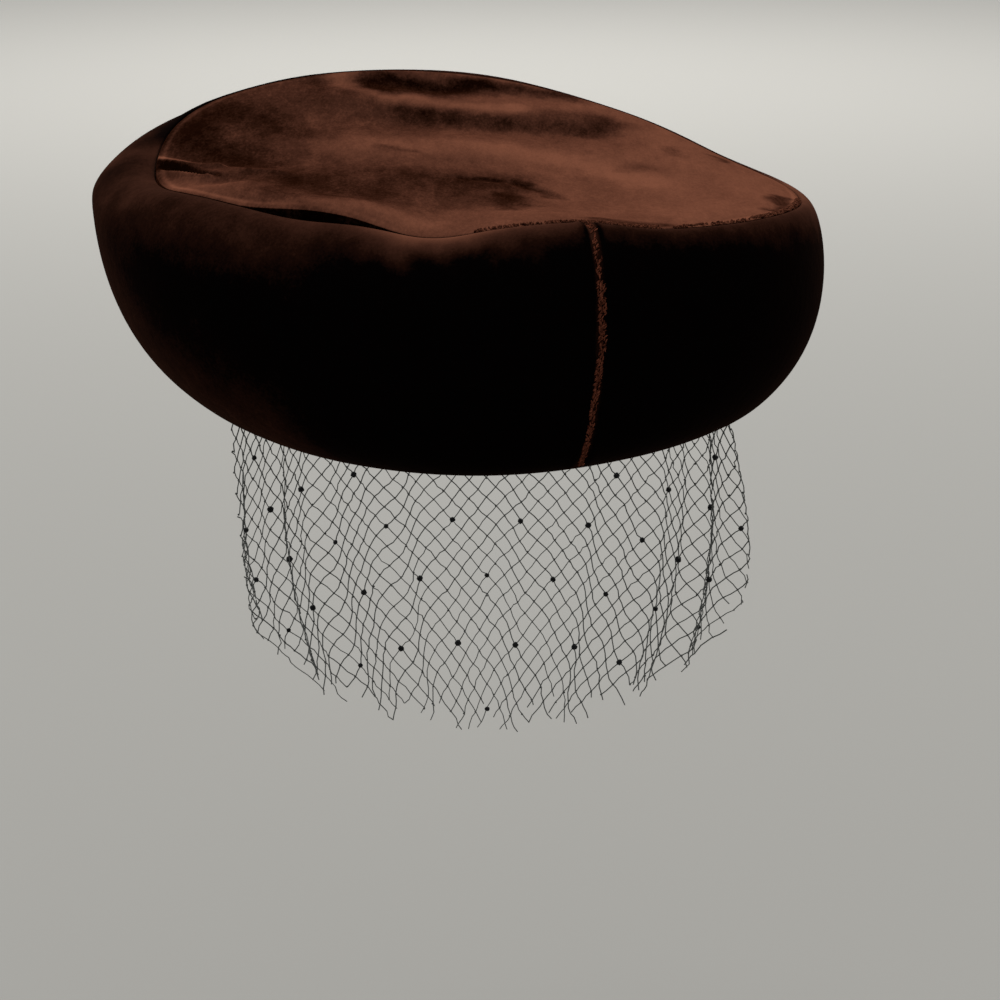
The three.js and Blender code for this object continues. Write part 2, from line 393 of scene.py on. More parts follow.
@dataclass(frozen=True)
class VelvetFinish:
    """Dark brown silk velvet, a dense cut pile woven on a cotton ground.

    Pile that stands up swallows the light and looks almost black, and pile that was stroked flat looks
    lighter and redder. The sides of the fibres shine a little where the cloth turns away from the eye.
    The attribute that the material reads says how flat the pile lies, from 0 to 1, and also carries painted light
    and shade: lighter where light falls and sheen shows, darker in hollows, creases and the gap at the seam.
    """

    name: str
    stops: tuple[tuple[float, str], ...]
    sheen_weight: float
    sheen_tint: str = "c06a48"
    sheen_roughness: float = 0.38
    lie_along: tuple[float, float, float] = (1.0, 0.4, 1.0)
    mottle_mm: float = 11.0  # patches of pile that lean together
    streak_mm: float = 3.0  # single strokes of a finger or brush, longer than wide
    speckle_mm: float = 0.8  # crushed pile breaks up into tufts of about this size
    grain_mm: float = 0.4  # the pile's own grain is 0.2 mm, drawn coarser so that it shows
    mottle: float = 0.8
    streak: float = 0.5
    speckle: float = 0.6
    calm: float = 0.4  # how much of the mottling is left where the pile lies flat and where light is painted brightest
    crush_depth_mm: float = 0.4
    grain_depth_mm: float = 0.05

    def build(self) -> bpy.types.Material:
        """Makes the material."""
        material, tree, output = new_material(self.name)
        nap_and_shading = add_node(tree, "Attribute", {"attribute_name": NAP_AND_SHADING}).outputs["Fac"]
        place = add_node(tree, "TexCoord").outputs["Object"]
        along = add_node(tree, "Mapping", None, {"Scale": self.lie_along}, {"Vector": place}).outputs[0]
        # the dark share is 1 where the pile stands up and where shade is painted, and falls to calm where the pile
        # lies flat and light is painted; the mottling follows it
        dark_share = add_node(
            tree,
            "MapRange",
            None,
            {"From Min": 0.2, "From Max": 0.85, "To Min": 1.0, "To Max": self.calm},
            {"Value": nap_and_shading},
        ).outputs["Result"]
        patterns = (
            (self.mottle_mm, self.mottle, 4.0),
            (self.streak_mm, self.streak, 3.0),
            (self.speckle_mm, self.speckle, 2.0),
        )
        lie_and_shading, fields = nap_and_shading, []
        for size, weight, detail in patterns:
            values = {"Scale": 1 / (size * MM), "Detail": detail, "Roughness": 0.6}
            pattern = add_node(tree, "TexNoise", None, values, {"Vector": along}).outputs["Fac"]
            share = add_node(
                tree, "Math", {"operation": "MULTIPLY_ADD"}, {1: weight, 2: -0.5 * weight}, {0: pattern}
            ).outputs[0]
            lie_and_shading = add_node(
                tree, "Math", {"operation": "MULTIPLY_ADD"}, None, {0: share, 1: dark_share, 2: lie_and_shading}
            ).outputs[0]
            fields.append(pattern)
        lean = add_node(tree, "Math", {"operation": "MULTIPLY"}, None, {0: dark_share, 1: fields[1]}).outputs[0]
        crush = add_node(
            tree, "Bump", None, {"Strength": 1.0, "Distance": self.crush_depth_mm * MM}, {"Height": lean}
        ).outputs["Normal"]
        values = {"Scale": 1 / (self.grain_mm * MM), "Detail": 2.0, "Roughness": 0.6}
        grain = add_node(tree, "TexNoise", None, values, {"Vector": place}).outputs["Fac"]
        normal = add_node(
            tree,
            "Bump",
            None,
            {"Strength": 1.0, "Distance": self.grain_depth_mm * MM},
            {"Height": grain, "Normal": crush},
        ).outputs["Normal"]
        # the ramp turns the pile's lie, with the painted light and shade in it, into colour
        colour = add_node(tree, "ValToRGB", None, None, {0: lie_and_shading}, self.stops).outputs["Color"]
        shader = add_node(
            tree,
            "BsdfPrincipled",
            None,
            {
                "Roughness": 1.0,
                "Specular IOR Level": 0.0,
                "Sheen Weight": self.sheen_weight,
                "Sheen Roughness": self.sheen_roughness,
                "Sheen Tint": linear(self.sheen_tint),
            },
            {"Base Color": colour, "Normal": normal},
        )
        tree.links.new(shader.outputs[0], output.inputs["Surface"])
        return material


@dataclass(frozen=True)
class FibreFinish:
    """Spun thread, chenille or loose pile: soft matte fibres with no gloss.

    The tone attribute of the mesh makes each tuft or thread a little lighter or darker, from 0 to 1.
    """

    name: str
    dark: str
    light: str
    grain_mm: float  # single fibres are 0.02 mm, drawn coarser so that they show
    relief_mm: float = 0.05
    sheen_weight: float = 0.2
    sheen_tint: str = "808080"
    specular: float = 0.2

    def build(self) -> bpy.types.Material:
        """Makes the material."""
        material, tree, output = new_material(self.name)
        tone = add_node(tree, "Attribute", {"attribute_name": TONE}).outputs["Fac"]
        place = add_node(tree, "TexCoord").outputs["Object"]
        values = {"Scale": 1 / (self.grain_mm * MM), "Detail": 2.0, "Roughness": 0.6}
        fibres = add_node(tree, "TexNoise", None, values, {"Vector": place}).outputs["Fac"]
        normal = add_node(
            tree, "Bump", None, {"Strength": 1.0, "Distance": self.relief_mm * MM}, {"Height": fibres}
        ).outputs["Normal"]
        centred = add_node(tree, "Math", {"operation": "SUBTRACT"}, {1: 0.5}, {0: fibres}).outputs[0]
        share = add_node(
            tree, "Math", {"operation": "MULTIPLY_ADD"}, {1: 0.6}, {0: centred, 2: tone}
        ).outputs[0]
        stops = ((0.0, self.dark), (1.0, self.light))
        colour = add_node(tree, "ValToRGB", None, None, {0: share}, stops).outputs["Color"]
        shader = add_node(
            tree,
            "BsdfPrincipled",
            None,
            {
                "Roughness": 0.9,
                "Specular IOR Level": self.specular,
                "Sheen Weight": self.sheen_weight,
                "Sheen Roughness": 0.5,
                "Sheen Tint": linear(self.sheen_tint),
            },
            {"Base Color": colour, "Normal": normal},
        )
        tree.links.new(shader.outputs[0], output.inputs["Surface"])
        return material


@dataclass(frozen=True)
class GroundClothFinish:
    """The velvet's back, seen inside the hat: a plain brown cotton weave, matte and even."""

    name: str = "woven_cotton_ground"
    stops: tuple[tuple[float, str], ...] = ((0.25, "150c09"), (0.75, "2c1b14"))
    thread_mm: float = 0.9  # real threads are 0.3 mm apart, drawn coarser so that they show

    def build(self) -> bpy.types.Material:
        """Makes the material."""
        material, tree, output = new_material(self.name)
        place = add_node(tree, "TexCoord").outputs["Object"]
        # a band wave repeats every 0.314 units of its scaled coordinate
        scale = 0.314 / (self.thread_mm * MM)
        rows = add_node(
            tree,
            "TexWave",
            {"bands_direction": "Z"},
            {"Scale": scale, "Distortion": 0.6, "Detail": 1.0},
            {"Vector": place},
        ).outputs["Fac"]
        values = {"Scale": 3 * scale, "Detail": 1.0}
        fuzz = add_node(tree, "TexNoise", None, values, {"Vector": place}).outputs["Fac"]
        weave = add_node(tree, "Math", {"operation": "MULTIPLY"}, None, {0: rows, 1: fuzz}).outputs[0]
        normal = add_node(
            tree, "Bump", None, {"Strength": 1.0, "Distance": 0.1 * MM}, {"Height": weave}
        ).outputs["Normal"]
        colour = add_node(tree, "ValToRGB", None, None, {0: weave}, self.stops).outputs["Color"]
        values = {"Roughness": 0.9, "Specular IOR Level": 0.2}
        shader = add_node(tree, "BsdfPrincipled", None, values, {"Base Color": colour, "Normal": normal})
        tree.links.new(shader.outputs[0], output.inputs["Surface"])
        return material


@dataclass(frozen=True)
class BackdropFinish:
    """Matte pale grey paper: even, with no gloss."""

    name: str = "matte_grey_paper"
    colour: str = "96948f"

    def build(self) -> bpy.types.Material:
        """Makes the material."""
        material, tree, output = new_material(self.name)
        values = {"Base Color": linear(self.colour), "Roughness": 1.0, "Specular IOR Level": 0.0}
        shader = add_node(tree, "BsdfPrincipled", None, values)
        tree.links.new(shader.outputs[0], output.inputs["Surface"])
        return material


# --------------------------------------------------------------- sub-assemblies


class SeamLine:
    """The closed line where the tip panel meets the band, read from the CAD tip."""

    def __init__(self, tip: bpy.types.Object, steps: int = 64) -> None:
        """Reads the outermost and highest point of the tip at each of its bearings."""
        places = vertex_places(tip)
        slots = np.round(bearing_of(places) / (360 / steps)).astype(int) % steps
        rims = [places[(slots == i) & (radius_of(places) > 60)] for i in range(steps)]
        self.bearings = np.arange(steps) * 360 / steps
        self.radii = np.array([radius_of(rim).max() for rim in rims])
        self.heights = np.array([rim[radius_of(rim) > radius_of(rim).max() - 0.3][:, 2].max() for rim in rims])

    def radius(self, bearings: np.ndarray) -> np.ndarray:
        """Returns the seam's distance from the axis at each bearing."""
        return np.interp(bearings, self.bearings, self.radii, period=360)

    def height(self, bearings: np.ndarray) -> np.ndarray:
        """Returns the seam's height at each bearing."""
        return np.interp(bearings, self.bearings, self.heights, period=360)


@dataclass
class TipPanel:
    """The velvet panel on top: sunken, softly folded, and seamed to the band all round.

    Strokes are in plan, as (x, y). At its left end the cloth is caught in two sharp tucks, and beside
    them its edge stands over the band.
    """

    node: str = "tip"
    wall: float = 2.4
    edge_round: float = 0.5
    cut: tuple[float, float] = (0.208, 0.196)
    cut_area: float = 0.0312
    overhang_bearing: float = 61.0
    overhang_reach: float = 17.0
    overhang_lift: float = 2.4
    overhang_out: float = 1.0
    folds: tuple[Stroke, ...] = (
        Stroke(((103, 1), (96, 9), (88, 17), (80, 23)), 3.4, 1.3, Profile.CRISP),
        Stroke(((80, 23), (70, 31), (60, 34)), 3.4, 0.6, Profile.CRISP),
        Stroke(((101, 8), (93, 18), (87, 27), (82, 33)), 3.4, -2.4),
        Stroke(((99, 13), (93, 23), (88, 31), (81, 37)), 3.2, 1.6, Profile.CRISP),
        Stroke(((-90, 24), (-84, 46)), 4.0, -0.8),
        Stroke(((10, 17), (-3, 19)), 2.5, -0.5),
        Stroke(((-8, 20), (-17, 28), (-19, 36)), 4.0, -0.5),
    )
    # painted shading across the panel by x: lighter on the right, darker on the left, partly the pile's lie and
    # partly painted light where the sheen shows most
    nap_and_shading_across: tuple[Place, ...] = (
        (-100, 0.84), (-60, 0.86), (-30, 0.77), (0, 0.73), (30, 0.62), (60, 0.47), (100, 0.4)
    )
    nap_and_shading_warp: tuple[Place, ...] = ((16, 5.0), (5, 2.0))
    nap_and_shading_strokes: tuple[Stroke, ...] = (
        # darker on the wall inside the front seam and in the valley behind it: partly pile that stands up, partly
        # painted shade on the steep wall and in the hollow
        Stroke(((36, -77), (22, -80), (6, -84)), 14, -0.72),
        Stroke(((2, -87), (-27, -85)), 8, -0.45),
        Stroke(((26, -54), (10, -54), (-10, -53), (-40, -57)), 14, -0.4),
        Stroke(((32, -42), (0, -40), (-38, -42)), 19, -0.12),
        # darker at the left end, beside the tucks: partly pile that stands up, partly painted shade where the cloth
        # falls steeply from the seam
        Stroke(((94, -14), (84, 0), (72, 14)), 20, -0.35),
        Stroke(((82, -38), (66, -22)), 18, -0.25),
        Stroke(((98, -26), (88, -30)), 14, -0.15),
        Stroke(((60, -72), (50, -58)), 13, -0.15),
        # darker in the middle: crushed pile, partly painted shade, with painted shade in the small dents that the
        # folds sink
        Stroke(((50, 42), (28, 48), (4, 40)), 30, -0.34),
        Stroke(((28, 20), (-6, 20)), 20, -0.34),
        Stroke(((8, 17), (-2, 19)), 3.0, -0.35),
        Stroke(((-10, 20), (-18, 29), (-20, 38)), 6, -0.32),
        Stroke(((-6, 38), (-8, 50), (-8, 64)), 7, -0.42),
        Stroke(((56, 68), (30, 68)), 18, -0.15),
        Stroke(((32, -8), (24, -9)), 4, -0.25),
        # small darker marks on the right; the first is painted shade in the dent at the right corner
        Stroke(((-90, 24), (-84, 46)), 6, -0.55),
        Stroke(((-30, 85), (-40, 84), (-48, 80)), 6, -0.4),
        Stroke(((-60, -38), (-60, -32)), 6, -0.2),
        Stroke(((-76, -40), (-77, -30)), 5, -0.35),
        Stroke(((-44, -4), (-48, -9)), 8, -0.15),
        # lighter on the ridge, the swath and the near edge: pile stroked flat, partly painted highlight where the
        # cloth lies level to the light
        Stroke(((54, -84), (45, -72), (36, -65), (20, -63), (0, -63), (-10, -66)), 8, 0.3),
        Stroke(((50, -4), (25, -14), (-8, -17), (-32, -8), (-46, 8)), 15, 0.2),
        Stroke(((93, 36), (84, 48), (74, 52)), 14, 0.3),
        Stroke(((72, 66), (44, 80), (12, 88)), 9, 0.2),
    )
    # painted shade down the groove between the two tucks, and painted highlights along their two crests
    crease_shade_and_crest_highlights: tuple[Stroke, ...] = (
        Stroke(((102, 6), (92, 19), (86, 28), (81, 34)), 4.0, -1.0),
        Stroke(((103, -0.5), (96, 7.5), (88, 15.5), (80, 21.5), (66, 30)), 1.6, 0.6),
        Stroke(((99, 12), (93, 22), (88, 30), (81, 36)), 1.6, 0.5),
    )
    # a painted highlight along the very edge of the panel, by bearing: how much lighter it is made
    edge_highlight: tuple[Place, ...] = (
        (-70, 0.0), (-50, 0.1), (-5, 0.25), (42, 0.24), (56, 0.08), (84, 0.0), (124, 0.0), (138, 0.2),
        (165, 0.22), (182, 0.08), (200, 0.0)
    )
    finish: VelvetFinish = field(
        default_factory=lambda: VelvetFinish(
            "brown_velvet_tip",
            ((0.0, "040100"), (0.25, "1f0f09"), (0.5, "392017"), (0.75, "533124"), (1.0, "6b4130")),
            sheen_weight=0.08,
        )
    )

    def build(self, nodes: dict[str, bpy.types.Object], seam: SeamLine) -> list[bpy.types.Object]:
        """Args:
            nodes: the CAD nodes.
            seam: the line that it is sewn along.

        Returns:
            The finished pieces.
        """
        piece = copy_of_node(nodes[self.node], "tip_velvet")
        round_sharp_edges(piece, self.edge_round)
        apply_modifier(piece, "SUBSURF", levels=2, render_levels=2)
        subdivide_faces(piece, face_values(piece, "normal")[:, 2] > 0.5)
        self.shape(piece, seam)
        self.lay_nap_and_shading(piece, seam)
        shade_smooth(piece)
        piece.data.materials.append(self.finish.build())
        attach(piece, BODY)
        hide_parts(self.node)
        return [piece]

    def shape(self, piece: bpy.types.Object, seam: SeamLine) -> None:
        """Draws the tucks and creases into the panel, and lifts its edge over the band beside them."""
        places = vertex_places(piece)
        bearings = bearing_of(places)
        share = radius_of(places) / seam.radius(bearings)
        upper = eased((places[:, 2] - seam.height(bearings) + self.wall) / self.wall)
        places[:, 2] += drawn(self.folds, places[:, :2]) * (1 - np.clip(share, 0, 1) ** 24)
        lift = bump(bearing_gap(bearings, self.overhang_bearing), self.overhang_reach)
        lift *= eased((share - 0.84) / 0.14) * np.where(share > 0.97, upper, 1)
        places[:, 2] += self.overhang_lift * lift
        places += self.overhang_out * (lift * share**8)[:, None] * outward(bearings)
        places[:, 2] += 0.25 * smooth_noise(places, 16, 3.1) * (1 - np.clip(share, 0, 1) ** 8)
        move_vertices(piece, places)

    def lay_nap_and_shading(self, piece: bpy.types.Object, seam: SeamLine) -> None:
        """Says how flat the pile lies all over the panel, and paints light and shade into the same numbers:
        highlights on ridges, crests and the edge, shade in valleys, creases and dents, and black shadow on the
        walls in the seam's gap.
        """
        places = vertex_places(piece)
        bearings = bearing_of(places)
        share = radius_of(places) / seam.radius(bearings)
        flat = warped(places, self.nap_and_shading_warp)[:, :2]
        nap_and_shading = np.interp(flat[:, 0], *zip(*self.nap_and_shading_across)) + drawn(self.nap_and_shading_strokes, flat)
        nap_and_shading = np.clip(nap_and_shading, 0.04, 1) + drawn(self.crease_shade_and_crest_highlights, places[:, :2])
        # painted highlight: the very edge of the panel made lighter
        edge = np.interp(bearing_gap(bearings, 110) + 110, *zip(*self.edge_highlight))
        nap_and_shading += edge * bump(share - 0.978, 0.013)
        # painted shadow: the panel's steep walls down into the seam, in the gap under its edge, are made black
        gap_shadow = eased((share - 0.985) / 0.01) * eased((0.75 - vertex_normals(piece)[:, 2]) / 0.3)
        set_attribute(piece, NAP_AND_SHADING, np.clip(nap_and_shading, 0, 1) * (1 - gap_shadow))


@dataclass
class SideBand:
    """The wide rounded velvet band, turned under to the head opening, with its one seam at the back.

    Strokes are on the band laid flat, as (degrees of bearing, height), with each degree taken as
    degree_mm long.
    """

    node: str = "side_band"
    edge_round: float = 0.7
    degree_mm: float = 1.9
    cut: tuple[float, float] = (0.70, 0.115)
    cut_area: float = 0.060
    seam_bearing: float = 106.5
    seam_groove: float = 0.9
    dents: float = 0.35
    overhang_bearing: float = 61.0
    overhang_reach: float = 15.0
    overhang_drop: float = 0.8
    # how far the band stays below the tip's edge, by bearing
    shoulder_drop: tuple[Place, ...] = (
        (-85, 1.3), (-60, 1.8), (-30, 2.2), (4, 0.0), (196, 0.0), (212, 1.3), (275, 1.3)
    )
    # painted light and shade next to the seam, mostly lighter where the top shoulder turns up to the light and
    # shows its sheen, and darker in a shadowed valley at the far left: bearing, how much lighter (darker below 0),
    # and how far from the seam that reaches
    rim_light_and_shade: tuple[tuple[float, float, float], ...] = (
        (-85, 0.32, 8), (-56, 0.2, 8), (-44, -0.2, 9), (-12, -0.3, 9), (0, 0.05, 14), (14, 0.2, 22), (40, 0.22, 20),
        (60, 0.3, 19), (70, 0.5, 19), (79, 0.85, 17), (86, 0.85, 15), (94, 0.62, 15), (105, 0.48, 14),
        (113, 0.34, 12), (126, 0.34, 12), (150, 0.4, 14), (162, 0.55, 17), (172, 0.7, 22), (186, 0.55, 24),
        (200, 0.35, 9), (275, 0.32, 8)
    )
    nap_and_shading_warp: tuple[Place, ...] = ((18, 5.0), (6, 2.0))
    nap_and_shading_strokes: tuple[Stroke, ...] = (
        # painted light: the band lighter at its upper and lower left, where the light from the left and above
        # falls, and at its right end, with a painted sheen down its right side
        Stroke(((-40, 78), (-5, 72)), 24, 0.34),
        Stroke(((0, 71), (30, 68), (60, 66)), 18, 0.2),
        Stroke(((0, 58), (20, 54)), 26, 0.12),
        Stroke(((5, 34), (50, 8)), 36, 0.25),
        Stroke(((180, 56), (200, 56)), 20, 0.2),
        Stroke(((176, 14), (186, 52)), 20, 0.3),
    )
    seam_nap: float = 0.34
    finish: VelvetFinish = field(
        default_factory=lambda: VelvetFinish(
            "brown_velvet_band",
            ((0.0, "030202"), (0.08, "040202"), (0.25, "1b0c07"), (0.5, "392017"), (1.0, "6b4130")),
            sheen_weight=0.05,
            sheen_tint="a87a68",
            sheen_roughness=0.32,
            lie_along=(1.0, 1.0, 1.0),
            mottle=0.2,
            streak=0.16,
            speckle=0.2,
            crush_depth_mm=0.2,
        )
    )

    def build(self, nodes: dict[str, bpy.types.Object], seam: SeamLine) -> list[bpy.types.Object]:
        """Args:
            nodes: the CAD nodes.
            seam: the line that it is sewn to the tip along.

        Returns:
            The finished pieces.
        """
        piece = copy_of_node(nodes[self.node], "band_velvet")
        round_sharp_edges(piece, self.edge_round)
        apply_modifier(piece, "SUBSURF", levels=2, render_levels=2)
        centres = face_values(piece, "center")
        subdivide_faces(piece, np.abs(bearing_gap(bearing_of(centres), self.seam_bearing)) < 3.2)
        self.shape(piece, seam)
        self.lay_nap_and_shading(piece, seam)
        shade_smooth(piece)
        piece.data.materials.append(self.finish.build())
        piece.data.materials.append(GroundClothFinish().build())
        self.face_inside(piece, seam)
        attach(piece, BODY)
        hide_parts(self.node)
        return [piece]

    def shape(self, piece: bpy.types.Object, seam: SeamLine) -> None:
        """Sinks the back seam between two soft lips, and gives the cloth its slight unevenness."""
        places = vertex_places(piece)
        normals = vertex_normals(piece)
        bearings = bearing_of(places)
        facing = np.sum(normals * outward(bearings), axis=1)
        outside = eased((facing + 0.5 * normals[:, 2] + 0.1) / 0.3)
        aside = bearing_gap(bearings, self.seam_bearing) * self.degree_mm
        groove = -self.seam_groove * bump(aside, 1.9) + 0.35 * bump(np.abs(aside) - 3.0, 2.2)
        uneven = self.dents * smooth_noise(places, 34, 1.7)
        places += (outside * (groove + uneven))[:, None] * normals
        near_seam = bump(radius_of(places) - seam.radius(bearings), 5)
        near_seam *= eased((places[:, 2] - seam.height(bearings) + 6) / 4)
        drop = bump(bearing_gap(bearings, self.overhang_bearing), self.overhang_reach) * near_seam
        places[:, 2] -= self.overhang_drop * drop
        beyond = eased((radius_of(places) - seam.radius(bearings) - 0.5) / 5)
        beyond *= eased((places[:, 2] - seam.height(bearings) + 14) / 10)
        places[:, 2] -= np.interp(self.unrolled(bearings), *zip(*self.shoulder_drop)) * beyond
        move_vertices(piece, places)

    def unrolled(self, bearings: np.ndarray) -> np.ndarray:
        """Returns bearings as running from -85 to 275 degrees, the two ends being the same place in front."""
        return bearing_gap(bearings, 95) + 95

    def lay_nap_and_shading(self, piece: bpy.types.Object, seam: SeamLine) -> None:
        """Says how flat the pile lies all over the band, and paints light and shade into the same numbers: lighter
        where the light falls and the sheen shows at its upper left, its right end and its top shoulder, and painted
        shade in a valley by the seam and beside the back seam's groove.
        """
        places = vertex_places(piece)
        moved = warped(places, self.nap_and_shading_warp)
        flat = np.stack([self.unrolled(bearing_of(moved)) * self.degree_mm, moved[:, 2]], axis=1)
        strokes = [
            Stroke(tuple((b * self.degree_mm, z) for b, z in s.path), s.reach, s.amount)
            for s in self.nap_and_shading_strokes
        ]
        bearings = bearing_of(places)
        stations, amounts, reaches = zip(*self.rim_light_and_shade)
        turned = self.unrolled(bearing_of(moved))
        apart = np.hypot(radius_of(places) - seam.radius(bearings), places[:, 2] - seam.height(bearings))
        apart *= 1 + 0.35 * smooth_noise(places, 7, 6.1)
        # painted light and shade along the seam, from the table above
        rim = np.interp(turned, stations, amounts) * eased(1 - apart / np.interp(turned, stations, reaches))
        nap_and_shading = np.clip(drawn(strokes, flat) + rim, 0, 1)
        aside = bearing_gap(bearings, self.seam_bearing) * self.degree_mm
        # a lighter line of caught pile along the back seam, with painted shade in the groove on each side of it
        nap_and_shading += self.seam_nap * bump(aside, 1.6) - 0.3 * bump(np.abs(aside) - 2.3, 1.2)
        set_attribute(piece, NAP_AND_SHADING, np.clip(nap_and_shading, 0, 1))

    def face_inside(self, piece: bpy.types.Object, seam: SeamLine) -> None:
        """Gives the inner faces the velvet's woven back."""
        centres = face_values(piece, "center")
        normals = face_values(piece, "normal")
        bearings = bearing_of(centres)
        facing = np.sum(normals * outward(bearings), axis=1)
        inside = (facing < -0.15) & (centres[:, 2] < seam.height(bearings) - 2)
        inside |= (normals[:, 2] < -0.5) & (centres[:, 2] > 30)
        piece.data.polygons.foreach_set("material_index", inside.astype(np.int32))


@dataclass
class CaughtPile:
    """The pile caught in a seam: short mussed tufts that lean one way, laid on a finished surface."""

    name: str
    size: tuple[float, float]
    lean: tuple[float, float]
    rise: float
    finish: FibreFinish

    def lay(
        self, surface: BVHTree, rays: Sequence[tuple[float, Vector, Vector]], rng: np.random.Generator
    ) -> bpy.types.Object:
        """Lays a tuft where each ray meets the surface.

        Args:
            surface: what the rays are cast on, in metres.
            rays: the bearing, start and direction of each ray, in metres.
            rng: where the random sizes and turns come from.

        Returns:
            The tufts, as one piece.
        """
        origins, frames = [], []
        for bearing, start, direction in rays:
            hit, normal, _, _ = surface.ray_cast(start, direction)
            if hit is None:
                continue
            sideways = Vector(outward(np.array([bearing + 90]))[0])
            downhill = sideways.cross(normal)
            along = (downhill * rng.uniform(0.4, 1.0) + sideways * rng.uniform(*self.lean)).normalized()
            up = (normal + along * 0.3).normalized()
            long = rng.uniform(*self.size)
            origins.append(np.array(hit) / MM + np.array(normal) * 0.15)
            wide = np.array(up.cross(along)) * long * 0.3
            frames.append([np.array(along) * long, wide, np.array(up) * self.rise])
        tones = np.clip(rng.normal(0.4, 0.2, len(origins)), 0, 1)
        piece = copies_as_piece(self.name, self.tuft(), np.array(origins), np.array(frames), tones)
        piece.data.materials.append(self.finish.build())
        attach(piece, BODY)
        return piece

    def tuft(self) -> bpy.types.Object:
        """Models one tuft: a drop that tapers along its x, one metre long each way."""
        deselect_all()
        bpy.ops.mesh.primitive_ico_sphere_add(subdivisions=1, radius=1)
        tuft = bpy.context.object
        tip = [vertex.co.x > 0.3 for vertex in tuft.data.vertices]
        bpy.ops.object.mode_set(mode="EDIT")
        bpy.ops.mesh.select_mode(type="VERT")
        bpy.ops.mesh.select_all(action="DESELECT")
        bpy.ops.object.mode_set(mode="OBJECT")
        tuft.data.vertices.foreach_set("select", tip)
        bpy.ops.object.mode_set(mode="EDIT")
        bpy.ops.transform.resize(value=(1.0, 0.35, 0.35))
        bpy.ops.object.mode_set(mode="OBJECT")
        return tuft


@dataclass
class BackSeam:
    """The pile caught in the band's back seam: a narrow row of short strokes that all lean one way."""

    bearings: tuple[float, ...] = (106.1, 106.3, 106.6, 106.7, 106.8, 106.9, 106.5, 106.3, 106.2, 106.2, 106.8)
    heights: tuple[float, ...] = (71.5, 69.7, 66.3, 58.6, 50.7, 41.0, 32.6, 25.2, 15.7, 8.9, 2.1)
    width: float = 2.1
    count: int = 620
    degree_mm: float = 1.9
    pile: CaughtPile = field(
        default_factory=lambda: CaughtPile(
            "back_seam",
            (0.5, 1.0),
            (-1.0, 0.3),
            0.4,
            FibreFinish("velvet_pile_tufts", "2a120c", "6e3d2c", 0.5, sheen_weight=0.0, specular=0.0),
        )
    )

    def build(self, band: bpy.types.Object) -> list[bpy.types.Object]:
        """Builds the row of tufts on the finished band."""
        rng = np.random.default_rng(11)
        share = np.sort(rng.random(self.count))
        stations = np.linspace(0, 1, len(self.heights))
        heights = np.interp(share, stations, self.heights)
        bearings = np.interp(share, stations, self.bearings)
        bearings = bearings + rng.uniform(-0.5, 0.5, self.count) * self.width / self.degree_mm
        rays = []
        for bearing, height in zip(bearings, heights):
            away = Vector(outward(np.array([bearing]))[0])
            # rays come in level from outside, and from above near the top
            steep = max(0.0, (height - 58) / 14)
            start = away * (0.2 - 0.05 * steep) + Vector((0, 0, height * MM + 0.12 * steep))
            target = away * (0.092 - 0.008 * steep) + Vector((0, 0, height * MM))
            rays.append((bearing, start, (target - start).normalized()))
        piece = self.pile.lay(casting_tree(band), rays, rng)
        return [piece]


@dataclass
class TipSeam:
    """The pile caught along the back of the tip's seam: fine tufts that stand up over it."""

    # from bearing, to bearing, tufts
    spans: tuple[tuple[float, float, int], ...] = ((88, 102, 110), (100, 120, 260), (122, 144, 80), (142, 168, 210))
    width: float = 1.3
    pile: CaughtPile = field(
        default_factory=lambda: CaughtPile(
            "tip_seam",
            (0.35, 0.8),
            (-0.9, 0.9),
            0.6,
            FibreFinish("velvet_edge_tufts", "2a130c", "6b3f2e", 0.5, sheen_weight=0.0, specular=0.0),
        )
    )

    def build(self, tip: bpy.types.Object, seam: SeamLine) -> list[bpy.types.Object]:
        """Builds the tufts on the finished tip panel."""
        rng = np.random.default_rng(31)
        bearings = np.concatenate([rng.uniform(start, end, count) for start, end, count in self.spans])
        radii = seam.radius(bearings) - 0.3 - self.width * rng.random(len(bearings)) ** 1.5
        starts = outward(bearings) * radii[:, None] * MM + np.array([0, 0, 0.12])
        rays = [(bearing, Vector(start), Vector((0, 0, -1))) for bearing, start in zip(bearings, starts)]
        piece = self.pile.lay(casting_tree(tip), rays, rng)
        return [piece]


